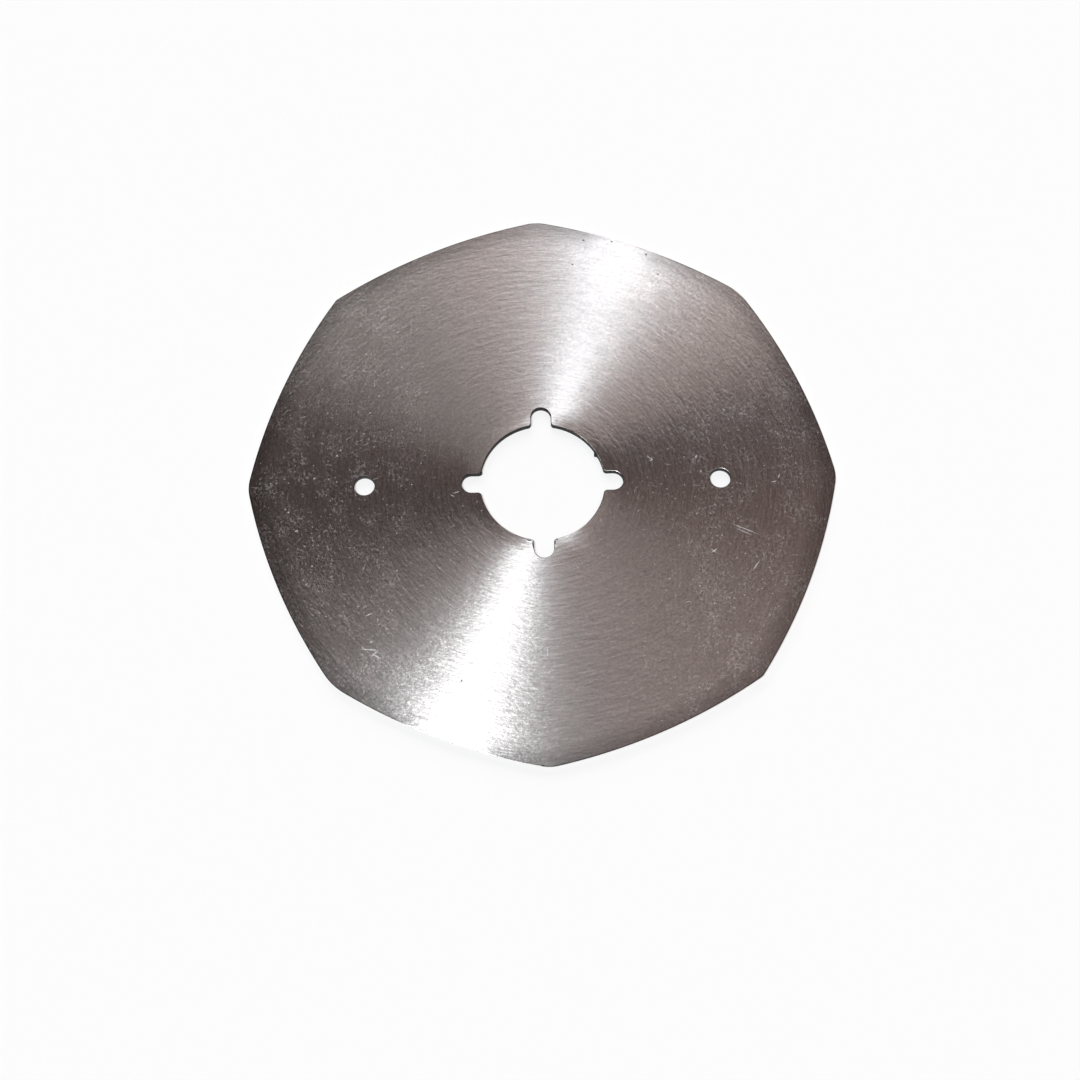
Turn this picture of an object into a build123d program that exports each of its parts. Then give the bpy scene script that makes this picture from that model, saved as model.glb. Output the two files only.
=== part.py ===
"""Eight-sided rotary knife for a cloth-cutting machine, in millimetres.

The knife is one flat piece of ground steel. It lies with its bevelled side down:
the origin is on the bore's axis at the back face, +Z points out of the flat front face,
and the keyways and pin holes lie on the X and Y axes.
"""

from build123d import *
from math import cos, radians, sin, sqrt
import os

# Outline: eight bowed sides between corners on one circle
CORNER_CIRCLE = 100.0  # across opposite corners, before they are rounded
SIDE_COUNT = 8
SIDE_ARC_RADIUS = 97.0
FIRST_CORNER_ANGLE = 0.0  # from +X

# Corner rounding, anticlockwise from +X: a knife's corners wear unevenly
CORNER_RADIUS = 7.0
WORN_CORNER_RADIUS = 11.0
CRISP_CORNER_RADIUS = 1.5
CORNER_WEAR = ("plain", "worn", "plain", "crisp", "plain", "worn", "plain", "crisp")

# Plate and its ground edge
THICKNESS = 1.2
BEVEL_WIDTH = 3.0
EDGE_LAND = 0.1  # upright wall left at the cutting edge
GRINDING_OVERRUN = 2.0  # how far the bevel's cut runs on past the outline

# Bore with keyways
BORE_DIAMETER = 21.2
KEYWAY_COUNT = 4
KEYWAY_WIDTH = 3.4
KEYWAY_REACH = 13.75  # from the axis to the bottom of a keyway
KEYWAY_MOUTH_RADIUS = 0.35

# Pin holes
PIN_HOLE_DIAMETER = 3.5
PIN_HOLE_SPACING = 60.5
PIN_HOLE_COUNT = 2

# Break on the edges of the bore and the pin holes
EDGE_BREAK = 0.1

# Values worked out from the ones above
corner_step = 360 / SIDE_COUNT
half_side = CORNER_CIRCLE / 2 * sin(radians(corner_step / 2))
side_distance = CORNER_CIRCLE / 2 * cos(radians(corner_step / 2))
arc_centre_distance = sqrt(SIDE_ARC_RADIUS**2 - half_side**2) - side_distance
bevel_height = THICKNESS - EDGE_LAND
keyway_centre_distance = KEYWAY_REACH - KEYWAY_WIDTH / 2
corner_radius_by_wear = {
    "plain": CORNER_RADIUS,
    "worn": WORN_CORNER_RADIUS,
    "crisp": CRISP_CORNER_RADIUS,
}


def corner_angle(number):
    """Direction of a corner, anticlockwise from +X."""
    return FIRST_CORNER_ANGLE + number * corner_step


def polar_point(distance, angle):
    """Point in the plane of the knife at a distance and a direction from its axis."""
    return Vector(distance, 0).rotate(Axis.Z, angle)


def grinding_plane(side):
    """Upright plane through the middle of a side, its origin on the axis of the side's arc."""
    angle = corner_angle(side) + corner_step / 2
    return Plane(
        origin=polar_point(-arc_centre_distance, angle),
        x_dir=polar_point(1, angle),
        z_dir=polar_point(1, angle - 90),
    )


with BuildPart() as blade:
    # Blank: the outline with its rounded corners
    with BuildSketch() as outline:
        with BuildLine():
            for side in range(SIDE_COUNT):
                RadiusArc(
                    polar_point(CORNER_CIRCLE / 2, corner_angle(side)),
                    polar_point(CORNER_CIRCLE / 2, corner_angle(side + 1)),
                    -SIDE_ARC_RADIUS,
                )
        make_face()
        for number in range(SIDE_COUNT):
            corner = polar_point(CORNER_CIRCLE / 2, corner_angle(number))
            wear = CORNER_WEAR[number % len(CORNER_WEAR)]
            fillet(outline.vertices().sort_by_distance(corner)[0], corner_radius_by_wear[wear])
    extrude(amount=THICKNESS)

    # Bevel: each side is ground from below, as a cone about the axis of its own arc
    for side in range(SIDE_COUNT):
        section_plane = grinding_plane(side)
        with BuildSketch(section_plane):
            with BuildLine():
                Polyline(
                    (SIDE_ARC_RADIUS - BEVEL_WIDTH, 0),
                    (SIDE_ARC_RADIUS + GRINDING_OVERRUN, 0),
                    (
                        SIDE_ARC_RADIUS + GRINDING_OVERRUN,
                        bevel_height * (1 + GRINDING_OVERRUN / BEVEL_WIDTH),
                    ),
                    close=True,
                )
            make_face()
        revolve(axis=Axis(section_plane.origin, (0, 0, 1)), mode=Mode.SUBTRACT)

    # Bore and its round-bottomed keyways. Growing the outline and shrinking it back
    # rounds the mouths of the keyways and leaves the rest as it was.
    with BuildSketch():
        Circle(BORE_DIAMETER / 2)
        with PolarLocations(keyway_centre_distance / 2, KEYWAY_COUNT):
            SlotCenterToCenter(keyway_centre_distance, KEYWAY_WIDTH)
        offset(amount=KEYWAY_MOUTH_RADIUS, kind=Kind.ARC)
        offset(amount=-KEYWAY_MOUTH_RADIUS, kind=Kind.ARC)
    extrude(amount=THICKNESS, mode=Mode.SUBTRACT)

    # Pin holes, on the line of two opposite keyways
    with PolarLocations(PIN_HOLE_SPACING / 2, PIN_HOLE_COUNT):
        Hole(PIN_HOLE_DIAMETER / 2)

    # The edges of every hole are broken on both faces
    front_face = blade.faces().filter_by(Plane.XY).sort_by(Axis.Z)[-1]
    back_face = blade.faces().filter_by(Plane.XY).sort_by(Axis.Z)[0]
    hole_edges = [
        edge
        for face in (front_face, back_face)
        for wire in face.inner_wires()
        for edge in wire.edges()
    ]
    chamfer(hole_edges, EDGE_BREAK)

blade.part.label = "blade"

os.makedirs("parts", exist_ok=True)
export_step(blade.part, "parts/blade.step")
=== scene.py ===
"""Looks of the eight-sided rotary knife: ring-ground steel with a worn, bevelled edge.

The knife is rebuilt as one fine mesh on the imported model's sizes, because its finish,
its worn edges and its burrs need more points than the CAD solid has.
Everything is in metres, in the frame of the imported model.
"""

import math

import bmesh
import bpy
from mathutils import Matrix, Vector


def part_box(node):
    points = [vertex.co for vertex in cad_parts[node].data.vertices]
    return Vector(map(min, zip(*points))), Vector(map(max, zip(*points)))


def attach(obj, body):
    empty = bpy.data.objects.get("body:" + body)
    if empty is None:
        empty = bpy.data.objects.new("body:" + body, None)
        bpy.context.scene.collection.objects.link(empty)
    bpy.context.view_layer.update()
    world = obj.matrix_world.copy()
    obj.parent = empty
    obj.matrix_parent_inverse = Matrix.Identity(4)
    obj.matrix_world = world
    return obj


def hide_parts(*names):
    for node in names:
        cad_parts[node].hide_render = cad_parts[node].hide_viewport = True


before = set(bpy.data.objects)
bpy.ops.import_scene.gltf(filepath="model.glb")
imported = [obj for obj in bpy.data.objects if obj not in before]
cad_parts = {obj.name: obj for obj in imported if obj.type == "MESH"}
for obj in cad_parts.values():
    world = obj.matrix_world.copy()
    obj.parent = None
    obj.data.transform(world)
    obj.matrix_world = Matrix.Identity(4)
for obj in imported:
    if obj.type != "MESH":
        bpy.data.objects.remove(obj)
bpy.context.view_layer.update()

MM = 0.001
lowest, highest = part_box("blade")

# Outline: eight bowed sides between corners on one circle
SIDE_COUNT = 8
CORNER_DISTANCE = 50 * MM
SIDE_ARC_RADIUS = 97 * MM
CORNER_RADII = [radius * MM for radius in (7, 11, 7, 1.5, 7, 11, 7, 1.5)]

# Plate and its edge
BACK = lowest.z
FRONT = highest.z
BEVEL_WIDTH = 3 * MM
EDGE_LAND = 0.1 * MM
BEVEL_ROWS = 3

# Bore with keyways, pin holes and the rounded break on their edges
BORE_RADIUS = 10.6 * MM
KEYWAY_COUNT = 4
KEYWAY_HALF_WIDTH = 1.7 * MM
KEYWAY_REACH = 13.75 * MM
KEYWAY_MOUTH_RADIUS = 0.6 * MM  # the solid has 0.35 mm, and the photo shows rounder mouths
PIN_HOLE_RADIUS = 1.75 * MM
PIN_HOLE_DISTANCE = 30.25 * MM
EDGE_BREAK = 0.1 * MM

# Burrs that stand into the bore from its wall: x, y, width and height in millimetres
BURRS = [(9.2, 5.1, 0.3, 0.5), (-10.5, 2.1, 0.45, 0.2)]

# The front face is worn round at the cutting edge: (distance in, drop)
ROLL_OFF = [(0.0, 0.02 * MM), (0.03 * MM, 0.006 * MM), (0.1 * MM, 0.0), (0.2 * MM, 0.0)]

# Flat ring beside each rounded edge, which keeps the large faces' shading flat
FLAT_RING = 0.08 * MM

# Marks that stand out on the front face. They and the patches below are given by their
# middle, length and width in millimetres, and their direction in degrees from +X.
PITS = [
    (26.3, 4.0, 0.7, 0.5, 60), (27.0, 1.3, 0.45, 0.4, 0), (18.7, 3.8, 0.6, 0.4, -60),
    (20.8, -18.0, 0.5, 0.4, 0), (-34.9, 5.6, 0.6, 0.4, -20), (-34.3, 6.6, 0.45, 0.4, 0),
    (-38.7, 1.5, 0.45, 0.4, 0), (-43.0, -4.6, 0.45, 0.4, 0), (-41.6, -8.0, 0.9, 0.4, 10),
    (-40.2, -10.8, 0.45, 0.4, 0), (-38.9, -14.4, 0.5, 0.4, 60), (-24.7, -15.5, 0.5, 0.4, 80),
    (-29.0, -28.0, 0.6, 0.5, 0), (-22.2, 0.0, 0.4, 0.35, 0),
]
# Dark marks on the front face: pits and grime, a dark spot at the rim of the bottom corner, and,
# in the last four, painted shadow along the walls and mouth corners of the bottom keyway
DARK_PITS_AND_SHADOWS = [
    (-14.1, -35.0, 0.6, 0.5, 50), (8.4, 46.2, 0.7, 0.4, -20), (13.4, 45.8, 0.6, 0.45, 0),
    (19.4, 43.1, 0.6, 0.5, 60), (6.3, 41.4, 0.5, 0.4, 0), (21.3, 39.1, 0.5, 0.4, 0),
    (-1.1, -49.7, 0.9, 0.5, 0), (-1.85, -11.5, 2.2, 0.4, -82), (-2.5, -10.6, 1.2, 0.35, -15),
    (1.85, -11.1, 1.2, 0.4, 80), (2.2, -10.6, 0.6, 0.35, 0),
]
SCRATCHES = [
    (-14.6, -1.6, 1.3, 0.2, 15), (-15.3, -2.2, 1.0, 0.18, -30), (18.2, 4.1, 1.2, 0.2, -50),
    (18.6, 3.5, 0.9, 0.2, 20), (5.5, -15.6, 1.3, 0.18, -60),
    (33.9, -9.4, 6.2, 0.18, -25), (33.7, -9.9, 4.2, 0.16, -26), (35.4, -16.0, 3.0, 0.2, 53),
    (28.5, -13.2, 1.7, 0.25, 35), (28.4, -13.2, 1.6, 0.2, -42), (39.3, -0.9, 1.3, 0.22, 10),
    (40.2, 0.1, 1.1, 0.22, 65), (-29.2, -29.3, 3.6, 0.28, -6), (-28.0, -30.5, 2.0, 0.3, -32),
    (-28.4, -30.0, 2.0, 0.28, 40), (-29.4, -23.2, 1.3, 0.25, 25),
]

# Patches where the broken edges of the holes keep their bright colour and can show highlight
# lines; elsewhere their colour is darkened
BRIGHT_EDGES = [
    (8.6, 6.6, 9.0, 3.0, -52), (12.3, 1.7, 4.6, 1.6, 0), (30.5, 1.3, 4.2, 2.4, 0),
    (6.4, -9.6, 11.0, 4.0, 34), (10.0, 3.6, 5.0, 2.0, -70),
]
DARK_EDGE_TONE = 0.1
EDGE_WEAR_SIZE = 0.6 * MM

# Painted reflection of the white floor on the left pin hole's wall: its colour is made lighter
# than the others', by so much over their tone
WALL_REFLECTION_PATCH = (-30.25, 0.0, 6.0, 6.0, 0)
WALL_REFLECTION_GAIN = 3.5

# Painted highlight: patches where the face's colour is brightened and kept from darkening at the
# edge, where the highlight streaks reach the edge
HIGHLIGHT_PATCHES = [(13.6, 41.5, 27.0, 22.0, 161), (-15.5, -43.5, 26.0, 16.0, 160)]

# How the ring grain winds: true rings at one radius, turned by so much for each e-fold,
# and turned further close to the bore, most of all beside the bottom keyway. Each line
# wanders from that by a few degrees.
TRUE_RING_RADIUS = 33 * MM
RING_WINDING = math.radians(4.5)
BORE_WINDING = math.radians(-15)
BORE_WINDING_RADII = (9.8 * MM, 14.3 * MM)
WINDING_PATCH = (5.2, -10.2, 9.0, 6.0, -25)
PATCH_WINDING = math.radians(-12)
GRAIN_WANDER = math.radians(10)
LOOSE_RADII = (BORE_RADIUS, 15 * MM)
LOOSE_WANDER = 2.2 * GRAIN_WANDER  # at the bore, where the lines lie less true
QUARTER_TURN = 0.25  # of a full turn, in the unit of Anisotropic Rotation

# Length and spacing of the lines in the grain
TURNED_LINES = (2.2 * MM, 0.3 * MM)
SHORT_LINES = (0.9 * MM, 0.4 * MM)
LONG_LINES = (4.5 * MM, 0.7 * MM)
TONE_LINES = (3.0 * MM, 0.5 * MM)
BEVEL_LINES = (5.0 * MM, 0.12 * MM)
LONG_LINE_SHARE = 1.2  # height of the long lines, with the short ones as 1
GRAIN_DEPTH = 0.026 * MM
BEVEL_GRAIN_DEPTH = 0.012 * MM
SHEAR_SIZE = 0.15 * MM
SHEAR_DEPTH = 0.02 * MM

# Scuffs lie in patches, and most of them at the left and right of the blade
SCUFF_PATCH = 5 * MM
SCUFF_SIDES = (8 * MM, 28 * MM)  # sideways distances between which they set in
SPECK_CELL = 0.8 * MM
SPECK_RADII = (0.08 * MM, 0.2 * MM)
HAIRLINE_CELL = 2.6 * MM
HAIRLINE_LENGTH = 1.6 * MM
HAIRLINE_WIDTH = 0.06 * MM
HAIRLINE_SHORTEST = 3 / 13  # as a share of the longest
HAIRLINE_BEND = 0.25
CURL_SIZE = 0.9 * MM
CURL_WIDTH = 0.03  # as a share of the noise that the curls follow
FAINTEST_MARK = 0.2
CURL_STRENGTH = 0.3
SCUFF_STRENGTH = 0.6
PIT_STRENGTH = 0.7
DIRT_AND_SHADOW_STRENGTH = 0.85

# What full wear adds to the roughness and takes from the metal of the face
WORN_ROUGHNESS = 0.3
WORN_METAL = 0.75

# Bands along the cutting edge where the face's colour is darkened, and their darkest tones
DARK_RIM_BAND = (0.0, 4.4 * MM)
DARK_RIM_TONE = 0.62
EDGE_BAND = (0.05 * MM, 0.25 * MM)
EDGE_TONE = 0.35
# How much the painted highlight patches brighten the face's colour
HIGHLIGHT_GAIN = 0.15

# Fine uneven tone: its size, its depth on unscuffed steel and what crowded scuffs add
GRIT_SIZE = 0.5 * MM
GRIT_DEPTH = 0.4
CROWDED_GRIT_DEPTH = 1.0

# How finely the curves are stepped
OUTLINE_STEP = math.radians(0.25)
CORNER_STEP = math.radians(0.06)
CORNER_REACH = math.radians(1.2)
MOUTH_STEPS = 12
KEYWAY_END_STEPS = 24
BORE_STEPS = 36  # from one keyway to the next
PIN_HOLE_STEPS = 64
BREAK_STEPS = 8
SHARP_EDGE = math.radians(12)  # edges bent further than this are shaded as sharp

# Material slots of the knife's mesh
FACE, BEVEL, WALL, EDGE = range(4)

corner_step = 2 * math.pi / SIDE_COUNT
half_step = corner_step / 2
side_distance = CORNER_DISTANCE * math.cos(half_step)
half_side = CORNER_DISTANCE * math.sin(half_step)
arc_centre_distance = math.sqrt(SIDE_ARC_RADIUS**2 - half_side**2) - side_distance
bevel_height = FRONT - BACK - EDGE_LAND


def polar(distance, angle):
    """Point in the plane of the knife."""
    return Vector((distance * math.cos(angle), distance * math.sin(angle)))


def ray_to_circle(radius, centre_distance, angle):
    """How far a ray from the axis runs to a circle whose centre is off by that distance,
    at an angle from the ray."""
    across = centre_distance * math.sin(angle)
    return centre_distance * math.cos(angle) + math.sqrt(radius**2 - across**2)


def side_radius(angle, inset=0.0):
    """Distance from the axis to the bowed side at an angle, before its corners are rounded."""
    side = math.floor(angle / corner_step)
    from_middle = angle - (side + 0.5) * corner_step
    return ray_to_circle(SIDE_ARC_RADIUS - inset, -arc_centre_distance, from_middle)


def corner_rounding(radius):
    """Distance of a corner's rounding circle from the axis, and the half angle it spans."""
    inner = SIDE_ARC_RADIUS - radius
    distance = ray_to_circle(inner, -arc_centre_distance, half_step)
    centre = polar(distance, 0)
    arc_centre = polar(-arc_centre_distance, half_step)
    touch = arc_centre + (centre - arc_centre) * (SIDE_ARC_RADIUS / inner)
    return distance, abs(math.atan2(touch.y, touch.x))


def outline_radius(angle):
    """Distance from the axis to the outline at an angle, with its rounded corners."""
    corner = round(angle / corner_step)
    radius = CORNER_RADII[corner % SIDE_COUNT]
    distance, half_span = corner_rounding(radius)
    from_corner = angle - corner * corner_step
    if abs(from_corner) < half_span:
        return ray_to_circle(radius, distance, from_corner)
    return side_radius(angle)


def outline_angles():
    """Angles at which the outline is stepped, closer together at its corners."""
    count = round(2 * math.pi / OUTLINE_STEP)
    angles = {round(number * OUTLINE_STEP, 6) for number in range(count)}
    fine = round(CORNER_REACH / CORNER_STEP)
    for corner in range(SIDE_COUNT):
        for number in range(-fine, fine + 1):
            angle = corner * corner_step + number * CORNER_STEP
            angles.add(round(angle % (2 * math.pi), 6))
    return sorted(angles)


def bore_outline(grow):
    """Points round the bore and its keyways, anticlockwise, moved out by grow."""
    bore = BORE_RADIUS + grow
    half_width = KEYWAY_HALF_WIDTH + grow
    mouth = KEYWAY_MOUTH_RADIUS - grow
    end = KEYWAY_REACH - KEYWAY_HALF_WIDTH
    mouth_y = half_width + mouth
    mouth_x = math.sqrt((bore + mouth) ** 2 - mouth_y**2)
    mouth_angle = math.atan2(mouth_y, mouth_x)

    def arc(centre, radius, start, stop, steps):
        return [
            Vector(centre) + polar(radius, start + (stop - start) * number / steps)
            for number in range(steps + 1)
        ]

    quarter = math.pi / 2
    keyway = (
        arc((mouth_x, -mouth_y), mouth, math.pi - mouth_angle, quarter, MOUTH_STEPS)
        + arc((end, 0), half_width, -quarter, quarter, KEYWAY_END_STEPS)
        + arc((mouth_x, mouth_y), mouth, -quarter, mouth_angle - math.pi, MOUTH_STEPS)
    )
    spacing = 2 * math.pi / KEYWAY_COUNT
    between = arc((0, 0), bore, mouth_angle, spacing - mouth_angle, BORE_STEPS)[1:-1]
    points = []
    for number in range(KEYWAY_COUNT):
        turn = number * spacing
        for point in keyway + between:
            angle = math.atan2(point.y, point.x) + turn
            points.append(polar(point.length, angle))
    return points


def pin_hole_outline(side, grow):
    """Points round one pin hole, moved out by grow."""
    centre = Vector((side * PIN_HOLE_DISTANCE, 0))
    step = 2 * math.pi / PIN_HOLE_STEPS
    radius = PIN_HOLE_RADIUS + grow
    return [centre + polar(radius, number * step) for number in range(PIN_HOLE_STEPS)]


def add_loop(mesh, points, height):
    """Vertices at the points, at one height or at a height for each."""
    heights = height if isinstance(height, list) else [height] * len(points)
    return [mesh.verts.new((p.x, p.y, z)) for p, z in zip(points, heights)]


def bridge(mesh, first, second, material):
    """Quads between two loops of the same length."""
    for number in range(len(first)):
        after = (number + 1) % len(first)
        face = mesh.faces.new((first[number], first[after], second[after], second[number]))
        face.material_index = material


def fill(mesh, loops, material):
    """Flat face between an outer loop and the loops of its holes."""
    edges = []
    for loop in loops:
        for number, vertex in enumerate(loop):
            pair = (vertex, loop[(number + 1) % len(loop)])
            edges.append(mesh.edges.get(pair) or mesh.edges.new(pair))
    made = bmesh.ops.triangle_fill(mesh, edges=edges, use_beauty=True)
    for item in made["geom"]:
        if isinstance(item, bmesh.types.BMFace):
            item.material_index = material


def burred(point, share):
    """Point of a hole's wall, pushed towards the axis where a burr stands."""
    pushed = point.copy()
    for x, y, width, height in BURRS:
        away = (point - Vector((x, y)) * MM).length / (width * MM)
        pushed -= point.normalized() * (share * height * MM * math.exp(-away * away))
    return pushed


def add_walls(mesh, outline):
    """Walls of a hole with rounded edges; returns its loops on the back and the front face."""
    quarter = [math.radians(90) * step / BREAK_STEPS for step in range(BREAK_STEPS + 1)]
    round_off = [(EDGE_BREAK * (1 - math.cos(a)), EDGE_BREAK * (1 - math.sin(a))) for a in quarter]
    middle = (BACK + FRONT) / 2
    levels = [(EDGE_BREAK + FLAT_RING, BACK, 0.0, FACE)]
    levels += [(grow, BACK + rise, 1.0, WALL) for grow, rise in reversed(round_off)]
    levels.append((0.0, middle, 1.0, WALL))
    bright_from = BREAK_STEPS // 2
    for step, (grow, drop) in enumerate(round_off):
        levels.append((grow, FRONT - drop, 0.0, EDGE if step > bright_from else WALL))
    levels.append((EDGE_BREAK + FLAT_RING, FRONT, 0.0, FACE))
    loops = []
    for grow, height, burr_share, material in levels:
        points = [burred(point, burr_share) for point in outline(grow)]
        loops.append(add_loop(mesh, points, height))
        if len(loops) > 1:
            bridge(mesh, loops[-2], loops[-1], FACE if len(loops) == 2 else material)
    return loops[0], loops[-1]


def make_knife():
    """The whole knife as one closed mesh."""
    mesh = bmesh.new()
    angles = outline_angles()
    radii = [outline_radius(angle) for angle in angles]

    # Front face: its roll-off, from the cutting edge inwards
    rings = []
    for inset, drop in ROLL_OFF:
        points = [polar(radius - inset, angle) for radius, angle in zip(radii, angles)]
        rings.append(add_loop(mesh, points, FRONT - drop))
    for outer, inner in zip(rings, rings[1:]):
        bridge(mesh, outer, inner, FACE)

    # Edge land, and the bevel in rows down to the back face
    full = [side_radius(angle) for angle in angles]
    inner = [side_radius(angle, BEVEL_WIDTH) for angle in angles]
    last = rings[0]
    for row in range(BEVEL_ROWS + 1):
        share = row / BEVEL_ROWS
        points = []
        heights = []
        for angle, edge, whole, root in zip(angles, radii, full, inner):
            distance = edge + (root - edge) * share
            points.append(polar(distance, angle))
            heights.append(BACK + bevel_height * (distance - root) / (whole - root))
        loop = add_loop(mesh, points, heights)
        bridge(mesh, last, loop, WALL if row == 0 else BEVEL)
        last = loop

    points = [polar(root - FLAT_RING, angle) for angle, root in zip(angles, inner)]
    back = add_loop(mesh, points, BACK)
    bridge(mesh, last, back, FACE)

    # Holes and the two flat faces
    holes = [add_walls(mesh, bore_outline)]
    for side in (-1, 1):
        holes.append(add_walls(mesh, lambda grow, side=side: pin_hole_outline(side, grow)))
    fill(mesh, [back] + [lower for lower, upper in holes], FACE)
    fill(mesh, [rings[-1]] + [upper for lower, upper in holes], FACE)

    bmesh.ops.recalc_face_normals(mesh, faces=mesh.faces)
    data = bpy.data.meshes.new("knife")
    mesh.to_mesh(data)
    mesh.free()
    for face in data.polygons:
        face.use_smooth = True
    data.set_sharp_from_angle(angle=SHARP_EDGE)
    knife = bpy.data.objects.new("knife", data)
    bpy.context.scene.collection.objects.link(knife)
    return knife


knife = make_knife()


def connect(tree, socket, value):
    """Link a socket to another one, or set it to a plain value."""
    if isinstance(value, bpy.types.NodeSocket):
        tree.links.new(value, socket)
    else:
        socket.default_value = value


def add_node(tree, kind, *values, **settings):
    """Shader node with its settings, and its sockets linked or set in order."""
    made = tree.nodes.new("ShaderNode" + kind)
    for name, value in settings.items():
        setattr(made, name, value)
    for socket, value in zip(made.inputs, values):
        connect(tree, socket, value)
    return made


class Nodes:
    """Short way to write the nodes of a metal."""

    def __init__(self, name, color, roughness):
        self.material = bpy.data.materials.new(name)
        self.material.use_nodes = True
        self.tree = self.material.node_tree
        self.shader = self.tree.nodes["Principled BSDF"]
        self.set("Base Color", (*color, 1))
        self.set("Metallic", 1.0)
        self.set("Roughness", roughness)
        point = self.add("TexCoord").outputs["Object"]
        self.x, self.y, z = self.add("SeparateXYZ", point).outputs
        self.flat = self.add("CombineXYZ", self.x, self.y, 0.0).outputs[0]

    def put(self, socket, value):
        connect(self.tree, socket, value)

    def set(self, name, value):
        self.put(self.shader.inputs[name], value)

    def add(self, kind, *values, **settings):
        return add_node(self.tree, kind, *values, **settings)

    def math(self, operation, *values):
        return self.add("Math", *values, operation=operation).outputs[0]

    def length(self, vector):
        return self.add("VectorMath", vector, operation="LENGTH").outputs["Value"]

    def scaled(self, vector, factor):
        made = self.add("VectorMath", vector, operation="SCALE")
        self.put(made.inputs["Scale"], factor)
        return made.outputs[0]

    def ramp(self, value, start, stop, first=0.0, last=1.0):
        """Smooth change from first to last as the value goes from start to stop."""
        made = self.add("MapRange", value, start, stop, first, last)
        made.interpolation_type = "SMOOTHSTEP"
        return made.outputs[0]

    def fold(self, operation, values):
        """One value from several, joined in order by the same operation."""
        total = values[0]
        for value in values[1:]:
            total = self.math(operation, total, value)
        return total

    def highest(self, values):
        return self.fold("MAXIMUM", values)

    def product(self, *values):
        return self.fold("MULTIPLY", values)

    def noise(self, vector, detail=2.0, roughness=0.5):
        made = self.add("TexNoise")
        self.put(made.inputs["Vector"], vector)
        made.inputs["Scale"].default_value = 1.0
        made.inputs["Detail"].default_value = detail
        made.inputs["Roughness"].default_value = roughness
        return made.outputs["Fac"]

    def lines(self, distance, along, across, detail=2.0, roughness=0.5):
        """Noise drawn out into arcs round a centre, from each point's distance to it."""
        vector = self.add(
            "CombineXYZ",
            self.math("DIVIDE", self.x, along),
            self.math("DIVIDE", self.y, along),
            self.math("DIVIDE", distance, across),
        )
        return self.noise(vector.outputs[0], detail, roughness)

    def distance_from_side_centre(self):
        """Distance from the centre of the arc that the nearest side is cut to."""
        angle = self.math("ARCTAN2", self.y, self.x)
        side = self.math("FLOOR", self.math("DIVIDE", angle, corner_step))
        middle = self.math("MULTIPLY_ADD", side, corner_step, half_step)
        offset = self.add(
            "CombineXYZ",
            self.math("COSINE", middle),
            self.math("SINE", middle),
            0.0,
        ).outputs[0]
        centre = self.scaled(offset, arc_centre_distance)
        return self.length(self.add("VectorMath", self.flat, centre, operation="ADD").outputs[0])

    def scattered(self, cell):
        """One random place in each cell of a grid: offset from it and three random values."""
        made = self.add("TexVoronoi", voronoi_dimensions="2D")
        point = self.scaled(self.flat, 1 / cell)
        self.put(made.inputs["Vector"], point)
        made.inputs["Scale"].default_value = 1.0
        away = self.add("VectorMath", point, made.outputs["Position"], operation="SUBTRACT")
        parts = self.add("SeparateColor", made.outputs["Color"]).outputs
        return self.scaled(away.outputs[0], cell), list(parts)

    def chosen(self, inside, chance, share, strength):
        """Marks in a share of the cells, most of them faint and a few strong."""
        depth = self.math("POWER", strength, 2.0)
        depth = self.math("MULTIPLY_ADD", depth, 1.0 - FAINTEST_MARK, FAINTEST_MARK)
        return self.product(inside, depth, self.math("LESS_THAN", chance, share))

    def specks(self, cell, smallest, largest, share):
        """Round specks of random size in a share of the cells."""
        away, (chance, size, strength) = self.scattered(cell)
        radius = self.math("MULTIPLY_ADD", size, largest - smallest, smallest)
        inside = self.ramp(self.math("DIVIDE", self.length(away), radius), 1.0, 0.3)
        return self.chosen(inside, chance, share, strength)

    def hairlines(self, cell, longest, width, share):
        """Short curved scratches in random directions in a share of the cells."""
        away, (chance, turn, size) = self.scattered(cell)
        turned = self.add("VectorRotate", away, rotation_type="Z_AXIS")
        self.put(turned.inputs["Angle"], self.math("MULTIPLY", turn, 2 * math.pi))
        u, v, w = self.add("SeparateXYZ", turned.outputs[0]).outputs
        bend = self.product(u, u, HAIRLINE_BEND / longest)
        across = self.math("ABSOLUTE", self.math("SUBTRACT", v, bend))
        shortest = longest / 2 * HAIRLINE_SHORTEST
        half = self.math("MULTIPLY_ADD", size, longest / 2 - shortest, shortest)
        along = self.math("DIVIDE", self.math("ABSOLUTE", u), half)
        inside = self.product(self.ramp(across, width, width * 0.2), self.ramp(along, 1.0, 0.5))
        return self.chosen(inside, chance, share, size)

    def curls(self, size, width, share):
        """Thin curly scuffs, broken into short pieces that grow longer with the share."""
        point = self.scaled(self.flat, 1 / size)
        level = self.noise(point, detail=1.0)
        away = self.math("ABSOLUTE", self.math("SUBTRACT", level, 0.5))
        line = self.ramp(away, width, width * 0.3)
        breaks = self.noise(self.scaled(self.flat, 2.2 / size), detail=1.0)
        shown = self.ramp(self.math("ADD", breaks, share), 0.95, 1.15)
        return self.product(line, shown)

    def mark(self, x, y, length, width, turn):
        """One long spot at a given place, in millimetres and degrees."""
        local = self.add("Mapping", self.flat, vector_type="TEXTURE")
        local.inputs["Location"].default_value = (x * MM, y * MM, 0)
        local.inputs["Rotation"].default_value = (0, 0, math.radians(turn))
        local.inputs["Scale"].default_value = (length / 2 * MM, width / 2 * MM, 1)
        return self.ramp(self.length(local.outputs[0]), 1.0, 0.3)

    def bump(self, height, depth):
        made = self.add("Bump")
        self.put(made.inputs["Strength"], 1.0)
        self.put(made.inputs["Distance"], depth)
        self.put(made.inputs["Height"], height)
        self.set("Normal", made.outputs[0])

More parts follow.
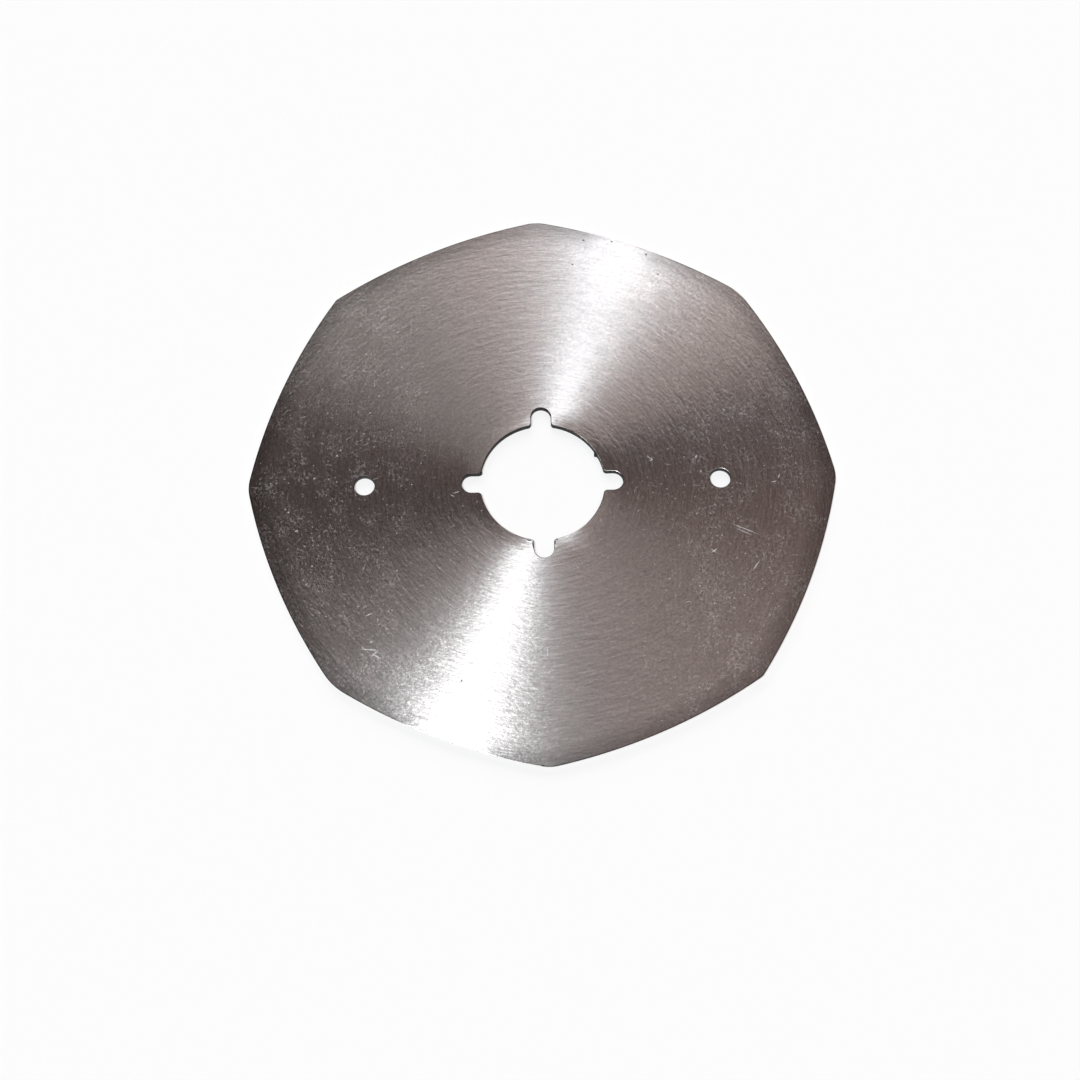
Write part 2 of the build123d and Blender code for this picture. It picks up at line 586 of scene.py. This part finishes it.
    def ring_grain(self, amount, radius, wander):
        """Highlights stretched across rings about the axis. The rings wind in a little
        towards the bore, so the angle they are turned by grows with the log of the radius,
        and it wanders from line to line."""
        tangent = self.add("Tangent", direction_type="RADIAL", axis="Z")
        wound = self.add("VectorRotate", tangent.outputs[0], rotation_type="Z_AXIS")
        share = self.math("LOGARITHM", self.math("DIVIDE", radius, TRUE_RING_RADIUS), math.e)
        near_bore = self.ramp(radius, *BORE_WINDING_RADII, BORE_WINDING, 0.0)
        angle = self.math("MULTIPLY_ADD", share, RING_WINDING, near_bore)
        angle = self.math("MULTIPLY_ADD", self.mark(*WINDING_PATCH), PATCH_WINDING, angle)
        loosened = self.ramp(radius, *LOOSE_RADII, LOOSE_WANDER, GRAIN_WANDER)
        angle = self.math("MULTIPLY_ADD", wander, loosened, angle)
        self.put(wound.inputs["Angle"], angle)
        self.set("Tangent", wound.outputs[0])
        self.set("Anisotropic", amount)
        self.set("Anisotropic Rotation", QUARTER_TURN)


def scuff_crowding(steel):
    """How thickly the scuffs lie, from 0 to 1."""
    patches = steel.noise(steel.scaled(steel.flat, 1 / SCUFF_PATCH), detail=3.0)
    sideways = steel.ramp(steel.math("ABSOLUTE", steel.x), *SCUFF_SIDES, 0.15, 1.0)
    return steel.product(steel.ramp(patches, 0.3, 0.7, 0.2, 0.8), sideways)


def face_wear(steel, crowded):
    """How far scuffs, pits and scratches have worn the face, from 0 to 1."""
    scuffs = steel.highest([
        steel.specks(SPECK_CELL, *SPECK_RADII, crowded),
        steel.hairlines(HAIRLINE_CELL, HAIRLINE_LENGTH, HAIRLINE_WIDTH, crowded),
        steel.product(steel.curls(CURL_SIZE, CURL_WIDTH, crowded), CURL_STRENGTH),
    ])
    pits = steel.highest([steel.mark(*mark) for mark in PITS])
    scratches = steel.highest([steel.mark(*mark) for mark in SCRATCHES])
    return steel.highest([
        steel.product(scuffs, SCUFF_STRENGTH), steel.product(pits, PIT_STRENGTH), scratches,
    ])


def rim_tone_and_highlight(steel):
    """Tone along the cutting edge: darker, but for the painted highlight patches, where it is
    brightened instead.
    """
    inset = steel.math("SUBTRACT", SIDE_ARC_RADIUS, steel.distance_from_side_centre())
    darkened = steel.product(
        steel.ramp(inset, *DARK_RIM_BAND, DARK_RIM_TONE, 1.0),
        steel.ramp(inset, *EDGE_BAND, EDGE_TONE, 1.0),
    )
    # Painted highlight where the streaks reach the edge
    highlight_patch = steel.highest([steel.mark(*patch) for patch in HIGHLIGHT_PATCHES])
    gain = steel.math("MULTIPLY_ADD", highlight_patch, HIGHLIGHT_GAIN, 1.0)
    return steel.product(steel.highest([darkened, highlight_patch]), gain)


def grit_tone(steel, crowded):
    """Fine uneven tone, deeper where scuffs crowd."""
    grit = steel.noise(steel.scaled(steel.flat, 1 / GRIT_SIZE))
    depth = steel.math("MULTIPLY_ADD", crowded, CROWDED_GRIT_DEPTH, GRIT_DEPTH)
    return steel.math("MULTIPLY_ADD", steel.math("SUBTRACT", grit, 0.5), depth, 1.0)


def face_steel():
    """Flat faces, ground in rings about the axis, scuffed, and darker towards the edge, with
    painted highlight patches where the streaks reach the edge and painted shadow beside the bottom
    keyway.
    """
    color = (0.631, 0.583, 0.573)
    roughness = 0.28
    steel = Nodes("face_steel", color, roughness)
    radius = steel.length(steel.flat)
    turned = steel.lines(radius, *TURNED_LINES, detail=1.0)
    steel.ring_grain(0.855, radius, steel.math("SUBTRACT", turned, 0.5))
    short = steel.lines(radius, *SHORT_LINES, roughness=0.6)
    long = steel.lines(radius, *LONG_LINES)
    steel.bump(steel.math("MULTIPLY_ADD", long, LONG_LINE_SHARE, short), GRAIN_DEPTH)

    crowded = scuff_crowding(steel)
    worn = face_wear(steel, crowded)
    steel.set("Roughness", steel.math("MULTIPLY_ADD", worn, WORN_ROUGHNESS, roughness))
    steel.set("Metallic", steel.math("MULTIPLY_ADD", worn, -WORN_METAL, 1.0))

    streaks = steel.lines(radius, *TONE_LINES)
    # Dark pits and grime, and painted shadow beside the bottom keyway
    dirt_and_shadow = steel.highest([steel.mark(*mark) for mark in DARK_PITS_AND_SHADOWS])
    tone = steel.product(
        rim_tone_and_highlight(steel),
        steel.ramp(streaks, 0.2, 0.8, 0.92, 1.08),
        grit_tone(steel, crowded),
        steel.math("MULTIPLY_ADD", dirt_and_shadow, -DIRT_AND_SHADOW_STRENGTH, 1.0),
    )
    steel.set("Base Color", steel.scaled(color, tone))
    return steel.material


def bevel_steel():
    """Bevel, ground along the arc of each side."""
    color = (0.66, 0.61, 0.6)
    steel = Nodes("bevel_steel", color, 0.3)
    distance = steel.distance_from_side_centre()
    grinding = steel.lines(distance, *BEVEL_LINES, roughness=0.6)
    steel.ring_grain(0.8, steel.length(steel.flat), steel.math("SUBTRACT", grinding, 0.5))
    steel.bump(grinding, BEVEL_GRAIN_DEPTH)
    steel.set("Roughness", steel.ramp(grinding, 0.2, 0.8, 0.26, 0.36))
    steel.set("Base Color", steel.scaled(color, steel.ramp(grinding, 0.2, 0.8, 0.9, 1.08)))
    return steel.material


def wall_steel():
    """Sheared walls of the holes and the thin cutting edge, dark with scale, with a painted
    reflection on the left pin hole's wall.
    """
    color = (0.02, 0.018, 0.017)
    steel = Nodes("wall_steel", color, 0.6)
    steel.set("Metallic", 0.0)
    steel.set("Specular IOR Level", 0.2)
    shear = steel.noise(steel.scaled(steel.flat, 1 / SHEAR_SIZE))
    steel.bump(shear, SHEAR_DEPTH)
    steel.set("Roughness", steel.ramp(shear, 0.2, 0.8, 0.5, 0.75))
    # Painted reflection on the left pin hole's wall
    wall_reflection = steel.math("MULTIPLY_ADD", steel.mark(*WALL_REFLECTION_PATCH), WALL_REFLECTION_GAIN, 1.0)
    tone = steel.product(steel.ramp(shear, 0.2, 0.8, 0.6, 1.6), wall_reflection)
    steel.set("Base Color", steel.scaled(color, tone))
    return steel.material


def edge_steel():
    """Round break on the edges of the holes: bright in the listed patches, darkened elsewhere."""
    color = (0.68, 0.64, 0.62)
    steel = Nodes("edge_steel", color, 0.35)
    wear = steel.noise(steel.scaled(steel.flat, 1 / EDGE_WEAR_SIZE))
    steel.set("Roughness", steel.ramp(wear, 0.3, 0.7, 0.28, 0.45))
    bright = steel.highest([steel.mark(*edge) for edge in BRIGHT_EDGES])
    worn = steel.math("MULTIPLY_ADD", bright, 1.0 - DARK_EDGE_TONE, DARK_EDGE_TONE)
    tone = steel.product(steel.ramp(wear, 0.3, 0.7, 0.7, 1.1), worn)
    steel.set("Base Color", steel.scaled(color, tone))
    return steel.material


for material in (face_steel(), bevel_steel(), wall_steel(), edge_steel()):
    knife.data.materials.append(material)

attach(knife, "root")
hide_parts("blade")

# Camera, fitted to the photograph, with its target in the plane 1 mm below the front face
FOCAL_LENGTH = 71.71
CAMERA_DISTANCE = 362.55 * MM
CAMERA_TARGET = Vector((-0.66 * MM, -10.22 * MM, FRONT - 1 * MM))
CAMERA_AZIMUTH = math.radians(-1.368)
CAMERA_ELEVATION = math.radians(68.98)


def direction(azimuth, elevation):
    """Unit vector; azimuth 0 is towards the viewer at -Y and grows anticlockwise from above."""
    return Vector((
        math.sin(azimuth) * math.cos(elevation),
        -math.cos(azimuth) * math.cos(elevation),
        math.sin(elevation),
    ))


camera_data = bpy.data.cameras.new("camera")
camera_data.lens = FOCAL_LENGTH
camera = bpy.data.objects.new("camera", camera_data)
camera_back = direction(CAMERA_AZIMUTH, CAMERA_ELEVATION)
camera.location = CAMERA_TARGET + camera_back * CAMERA_DISTANCE
camera.rotation_euler = camera_back.to_track_quat("Z", "Y").to_euler()
bpy.context.scene.collection.objects.link(camera)
bpy.context.scene.camera = camera

# White backdrop and floor
BACKDROP = 0.985  # as a share of white
BACKDROP_TOP = 0.4  # sine of the elevation where the backdrop's reflection ends
ROOM = 0.05  # how much of white the room above the backdrop reflects
ROOM_TOP = (0.6, 0.85)  # sines of the elevations between which the room fades out
FLOOR_COLOR = (0.974, 0.930, 0.920, 1)
FLOOR_REACH = 12.0  # to each side of the knife, in metres
floor_corners = [(-1, -1), (1, -1), (1, 1), (-1, 1)]
floor_data = bpy.data.meshes.new("floor")
floor_data.from_pydata(
    [(x * FLOOR_REACH, y * FLOOR_REACH, BACK) for x, y in floor_corners],
    [],
    [(0, 1, 2, 3)],
)
floor = bpy.data.objects.new("floor", floor_data)
floor_material = bpy.data.materials.new("floor_white")
floor_material.use_nodes = True
floor_shader = floor_material.node_tree.nodes["Principled BSDF"]
floor_shader.inputs["Base Color"].default_value = FLOOR_COLOR
floor_shader.inputs["Roughness"].default_value = 0.9
floor_shader.inputs["Specular IOR Level"].default_value = 0.1


def seen_by(tree, camera_share, mirror_share):
    """A share for what the camera sees straight, and one for mirrored and refracted rays."""
    rays = add_node(tree, "LightPath").outputs
    glossy, through = rays["Is Glossy Ray"], rays["Is Transmission Ray"]
    mirrored = add_node(tree, "Math", glossy, through, operation="MAXIMUM").outputs[0]
    mirrored = add_node(tree, "Math", mirrored, mirror_share, operation="MULTIPLY").outputs[0]
    straight = rays["Is Camera Ray"]
    straight = add_node(tree, "Math", straight, camera_share, operation="MULTIPLY").outputs[0]
    return add_node(tree, "Math", straight, mirrored, operation="MAXIMUM").outputs[0]


# The floor is seen half lit from within, which keeps the knife's shadow faint
FLOOR_GLOW = 0.5
tree = floor_material.node_tree
glow = add_node(tree, "Emission", (1, 1, 1, 1), BACKDROP).outputs[0]
share = seen_by(tree, FLOOR_GLOW, FLOOR_GLOW)
mixed = add_node(tree, "MixShader", share, floor_shader.outputs[0], glow).outputs[0]
tree.links.new(mixed, tree.nodes["Material Output"].inputs["Surface"])
floor_data.materials.append(floor_material)
bpy.context.scene.collection.objects.link(floor)


def lamp(name, azimuth, elevation, spread, level):
    """Distant round lamp. Spread is the half angle that it fills, and level is how much of
    a white floor's full brightness it gives by itself, in red, green and blue."""
    data = bpy.data.lights.new(name, "SUN")
    data.angle = 2 * spread
    data.energy = math.pi * max(level) / math.sin(math.radians(elevation))
    data.color = [part / max(level) for part in level]
    made = bpy.data.objects.new(name, data)
    towards = direction(math.radians(azimuth), math.radians(elevation))
    made.rotation_euler = towards.to_track_quat("Z", "Y").to_euler()
    bpy.context.scene.collection.objects.link(made)


lamp("key", -37.9, 71.6, 0.08, (0.742, 0.805, 0.824))
lamp("back_high", 168.6, 46.6, 0.244, (0.063, 0.054, 0.051))
lamp("back_mid", 172, 46, 0.08, (0.004, 0.010, 0.014))
lamp("back_low", 205.7, 34, 0.236, (0.066, 0.068, 0.066))
lamp("back_flat", 185, 22, 0.25, (0.058, 0.057, 0.057))
lamp("side", 98.5, 63.5, 0.388, (0.053, 0.038, 0.035))
lamp("side_low", 131, 24, 0.2, (0.018, 0.015, 0.0145))

# White backdrop for the camera. In reflections it fades out above the horizon into a dim
# room, so the steel shows it only when seen from the side.
world = bpy.data.worlds.new("studio")
bpy.context.scene.world = world
world.use_nodes = True
tree = world.node_tree
upwards = add_node(tree, "TexCoord").outputs["Generated"]
height = add_node(tree, "SeparateXYZ", upwards).outputs["Z"]
fade = add_node(
    tree, "MapRange", height, 0.0, BACKDROP_TOP, BACKDROP, 0.0, interpolation_type="SMOOTHSTEP"
).outputs[0]
room = add_node(
    tree, "MapRange", height, *ROOM_TOP, ROOM, 0.0, interpolation_type="SMOOTHSTEP"
).outputs[0]
mirrored = add_node(tree, "Math", fade, room, operation="MAXIMUM").outputs[0]
background = tree.nodes["Background"]
background.inputs["Color"].default_value = (1, 1, 1, 1)
tree.links.new(seen_by(tree, BACKDROP, mirrored), background.inputs["Strength"])

bpy.context.scene.view_settings.view_transform = "Standard"
